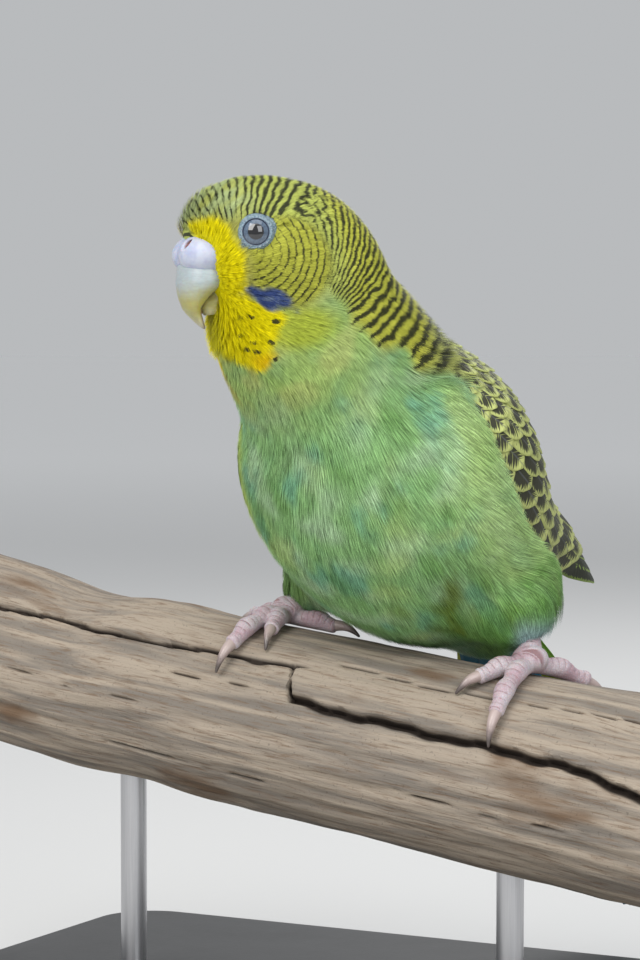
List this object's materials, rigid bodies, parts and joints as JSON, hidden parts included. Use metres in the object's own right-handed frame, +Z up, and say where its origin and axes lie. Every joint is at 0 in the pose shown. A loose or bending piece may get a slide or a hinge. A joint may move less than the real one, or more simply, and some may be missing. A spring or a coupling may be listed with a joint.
{
  "type": "budgerigar",
  "caption": "Life-size still model of a young budgerigar standing on a short cut length of driftwood, held by a plain display stand.",
  "frame": {"origin": "centre of the bird's stance, on the underside of the stand's base", "axes": "+Z up, -Y the way the bird's body faces, +X to the bird's left"},
  "size_m": [0.1343, 0.1092, 0.1285],
  "materials": {
    "face_feathers": "soft, barred",
    "body_feathers": "soft",
    "barred_feathers": "soft, black scallops",
    "tail_feathers": "satin",
    "scaly_skin": "matt, scaly",
    "horn": "satin",
    "cere_skin": "satin, waxy",
    "eye": "gloss",
    "driftwood": "matt, weathered",
    "stand_black": "satin",
    "stand_steel": "satin"
  },
  "bodies": {
    "root": {"head": "face_feathers", "neck": "barred_feathers", "torso": "body_feathers", "tail": "tail_feathers", "cere": "cere_skin", "bill_upper": "horn", "bill_lower": "horn", "perch": "driftwood", "stand_base": "stand_black", "stand_rod_1": "stand_steel", "stand_rod_2": "stand_steel", "wing_left": "barred_feathers", "thigh_left": "body_feathers", "foot_left": "scaly_skin", "eye_left": "eye", "eye_ring_left": "scaly_skin", "claw_left_inner_front": "horn", "claw_left_outer_front": "horn", "claw_left_outer_rear": "horn", "claw_left_inner_rear": "horn", "wing_right": "barred_feathers", "thigh_right": "body_feathers", "foot_right": "scaly_skin", "eye_right": "eye", "eye_ring_right": "scaly_skin", "claw_right_inner_front": "horn", "claw_right_outer_front": "horn", "claw_right_outer_rear": "horn", "claw_right_inner_rear": "horn"}
  },
  "joints": []
}
